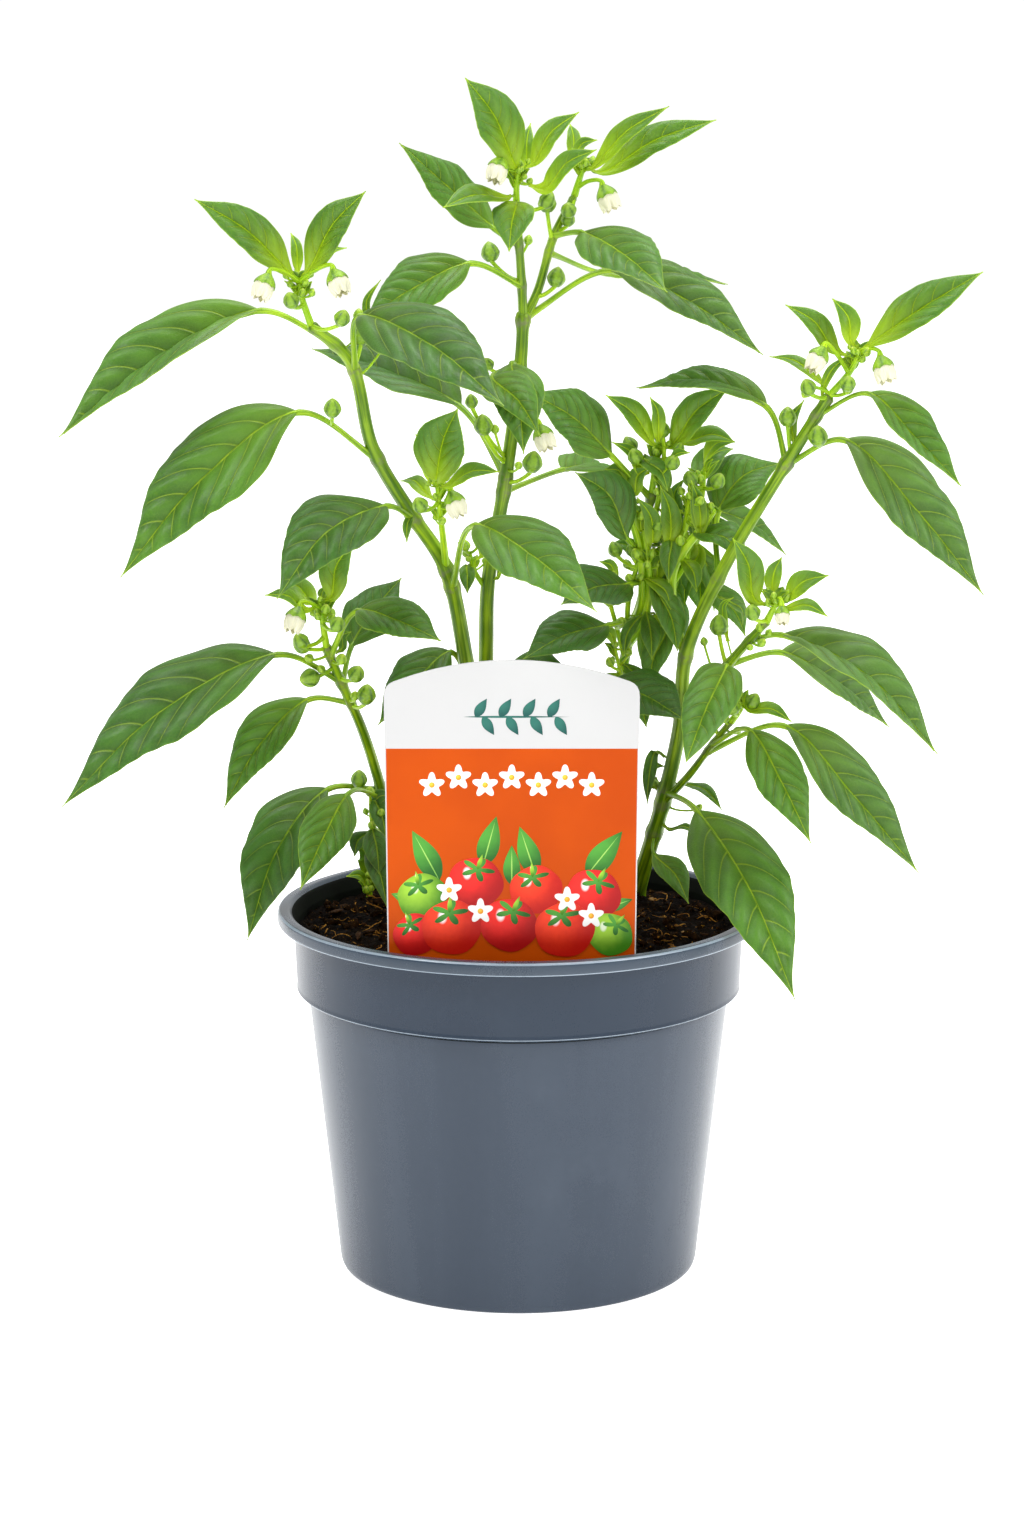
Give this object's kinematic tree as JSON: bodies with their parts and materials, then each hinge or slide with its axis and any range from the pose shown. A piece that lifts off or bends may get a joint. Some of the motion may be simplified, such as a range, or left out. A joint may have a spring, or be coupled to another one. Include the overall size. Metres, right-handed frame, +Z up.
{
  "type": "potted chilli pepper plant",
  "caption": "Branching chilli pepper plant in bud and flower, in a round nursery pot of potting soil with an upright picture label.",
  "frame": {"origin": "centre of the pot's underside, on the surface that it stands on", "axes": "+Z up, -Y towards the side that the label faces, +X to the right of someone who reads the label"},
  "size_m": [0.385, 0.234, 0.515],
  "materials": {
    "pot": "satin",
    "soil": "matte",
    "label": "satin",
    "stem": "satin",
    "leaf": "satin",
    "young_shoot": "satin"
  },
  "bodies": {
    "root": {"label": "label", "leaf_back_high": "leaf", "leaf_behind_label": "leaf", "leaf_behind_label_left": "leaf", "leaf_behind_label_middle": "leaf", "leaf_centre_front": "leaf", "leaf_centre_left": "leaf", "leaf_far_left": "leaf", "leaf_front_high": "leaf", "leaf_front_middle": "leaf", "leaf_in_pot": "leaf", "leaf_inner_edge": "leaf", "leaf_inner_low_left": "leaf", "leaf_inner_lower": "leaf", "leaf_inner_middle": "leaf", "leaf_inner_right": "leaf", "leaf_inner_upper": "leaf", "leaf_left_high": "leaf", "leaf_left_middle": "leaf", "leaf_low_inner_back": "leaf", "leaf_low_inner_front": "leaf", "leaf_low_left_bright": "leaf", "leaf_low_left_drooping": "leaf", "leaf_low_left_large": "leaf", "leaf_low_left_small": "leaf", "leaf_lower_front": "leaf", "leaf_lower_right": "leaf", "leaf_over_rim": "leaf", "leaf_right_back": "leaf", "leaf_right_large": "leaf", "leaf_right_small": "leaf", "leaf_side_heart": "leaf", "leaf_side_large": "leaf", "leaf_side_under": "leaf", "leaf_top_left": "leaf", "leaf_top_right": "leaf", "leaf_top_right_back": "leaf", "leaf_top_right_front": "leaf", "pot": "pot", "shoot_inner_back": "young_shoot", "shoot_inner_left": "young_shoot", "shoot_inner_right": "young_shoot", "shoot_left": "young_shoot", "shoot_low_left": "young_shoot", "shoot_right": "young_shoot", "shoot_right_low": "young_shoot", "shoot_right_side": "young_shoot", "shoot_top_left": "young_shoot", "shoot_top_right": "young_shoot", "soil": "soil", "sprout_low_left": "young_shoot", "stem_centre": "stem", "stem_centre_fork_left": "stem", "stem_centre_fork_right": "stem", "stem_inner_right": "stem", "stem_left": "stem", "stem_low_left": "stem", "stem_right": "stem", "stem_right_low": "stem", "stem_right_side": "stem"}
  },
  "joints": []
}
